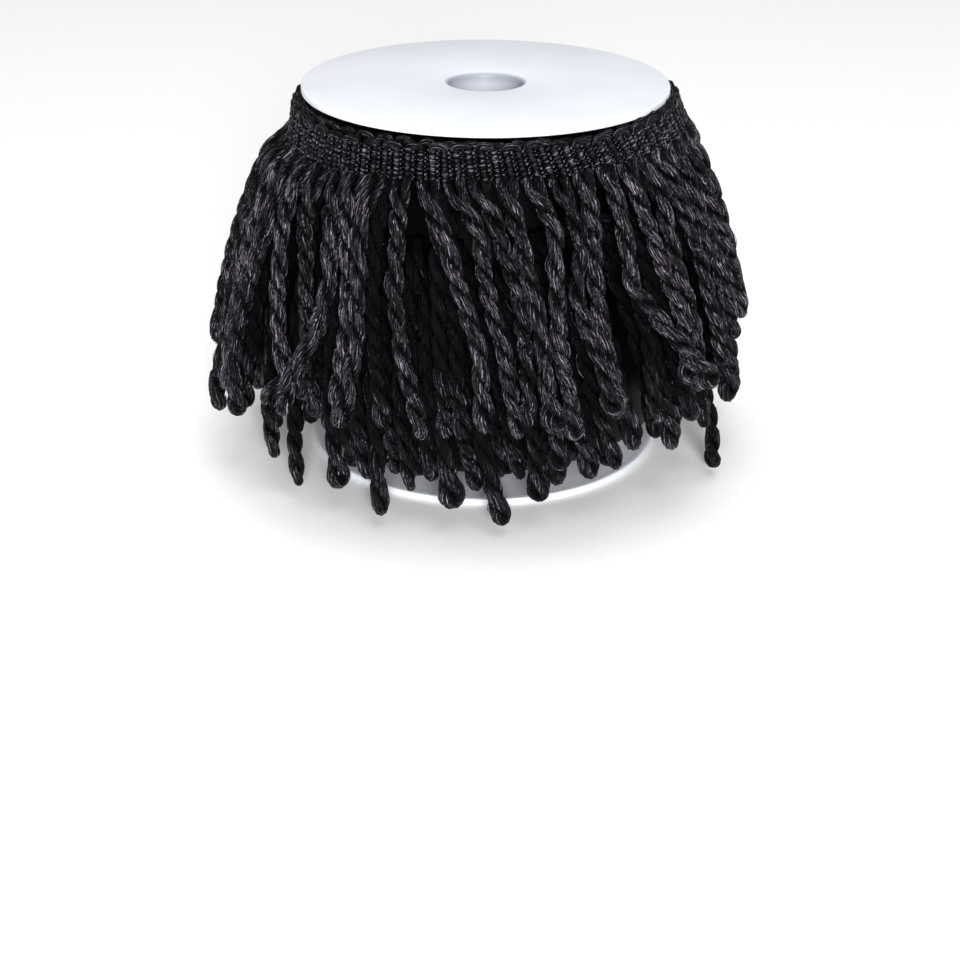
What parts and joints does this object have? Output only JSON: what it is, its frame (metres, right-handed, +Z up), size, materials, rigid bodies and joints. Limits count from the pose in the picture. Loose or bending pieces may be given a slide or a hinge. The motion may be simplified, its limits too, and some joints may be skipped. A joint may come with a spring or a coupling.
{
  "type": "twisted bullion fringe trim wound on a spool",
  "caption": "Roll of black twisted bullion fringe on a white spool: a ribbed woven heading round the rim, with looped cords that flare down as a skirt.",
  "frame": {"origin": "on the spool's axis, at the underside of its lower flange, where it stands", "axes": "+Z up along the spool's axis; -Y towards the front"},
  "size_m": [0.1163, 0.1163, 0.078],
  "materials": {
    "spool_plastic": "smooth moulded, slightly bluish white",
    "heading_yarn": "ribbed woven black yarn with small glints",
    "cord_yarn": "two-ply twisted black yarn with a soft sheen"
  },
  "bodies": {
    "root": {"spool_bottom_flange": "spool_plastic", "spool_top_flange": "spool_plastic", "spool_hub": "spool_plastic", "trim_heading": "heading_yarn", "trim_fringe": "cord_yarn"}
  },
  "joints": []
}
